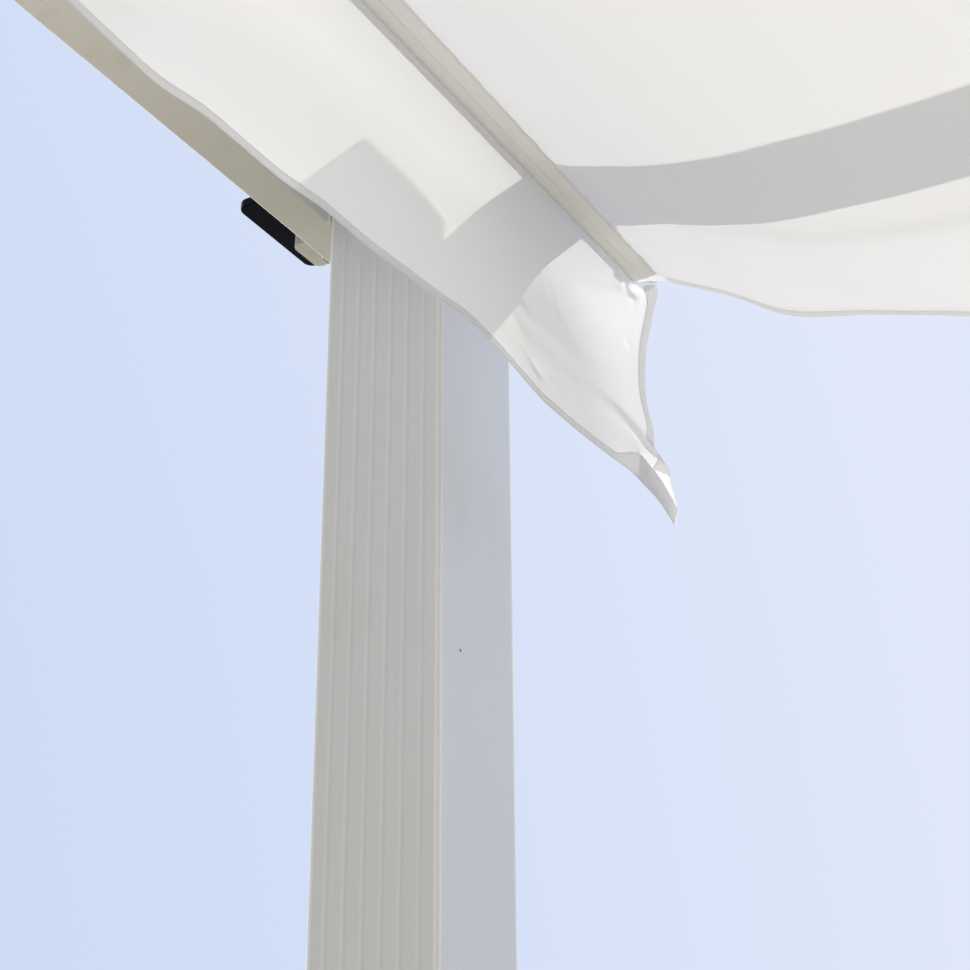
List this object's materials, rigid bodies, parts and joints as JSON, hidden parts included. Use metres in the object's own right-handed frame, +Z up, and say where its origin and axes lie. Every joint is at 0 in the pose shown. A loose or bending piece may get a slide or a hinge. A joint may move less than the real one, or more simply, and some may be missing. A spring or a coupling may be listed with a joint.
{
  "type": "pergola",
  "caption": "Open white metal pergola with ribbed square posts, box beams, an off-white cloth canopy hung in bays from rods, and small solar lights outside the posts.",
  "frame": {"origin": "on the ground, at the middle of the rectangle that the posts make", "axes": "+X along the end beams, the longest side; +Y along the side beams and the canopy's rods; +Z up"},
  "size_m": [4.11, 3.014, 2.4123],
  "materials": {
    "white_metal": "white powder coat, satin",
    "white_plastic": "moulded, fine matt",
    "rod_metal": "drawn tube, satin",
    "canopy_cloth": "plain weave polyester, light passes through",
    "black_plastic": "black, semi-gloss, with dark cells on top"
  },
  "bodies": {
    "root": {"foot_plate_front_left": "white_metal", "post_front_left": "white_metal", "post_cap_front_left": "white_plastic", "foot_plate_front_right": "white_metal", "post_front_right": "white_metal", "post_cap_front_right": "white_plastic", "foot_plate_back_left": "white_metal", "post_back_left": "white_metal", "post_cap_back_left": "white_plastic", "foot_plate_back_right": "white_metal", "post_back_right": "white_metal", "post_cap_back_right": "white_plastic", "side_beam_left": "white_metal", "side_beam_right": "white_metal", "end_beam_front": "white_metal", "end_beam_back": "white_metal", "canopy_rod_1": "rod_metal", "rod_hanger_front_1": "white_plastic", "rod_hanger_back_1": "white_plastic", "canopy_rod_2": "rod_metal", "rod_hanger_front_2": "white_plastic", "rod_hanger_back_2": "white_plastic", "canopy_rod_3": "rod_metal", "rod_hanger_front_3": "white_plastic", "rod_hanger_back_3": "white_plastic", "canopy_rod_4": "rod_metal", "rod_hanger_front_4": "white_plastic", "rod_hanger_back_4": "white_plastic", "canopy_rod_5": "rod_metal", "rod_hanger_front_5": "white_plastic", "rod_hanger_back_5": "white_plastic", "canopy_rod_6": "rod_metal", "rod_hanger_front_6": "white_plastic", "rod_hanger_back_6": "white_plastic", "canopy_cloth": "canopy_cloth", "light_housing_front_left": "white_plastic", "light_panel_front_left": "black_plastic", "light_housing_front_right": "white_plastic", "light_panel_front_right": "black_plastic", "light_housing_back_left": "white_plastic", "light_panel_back_left": "black_plastic", "light_housing_back_right": "white_plastic", "light_panel_back_right": "black_plastic"}
  },
  "joints": []
}
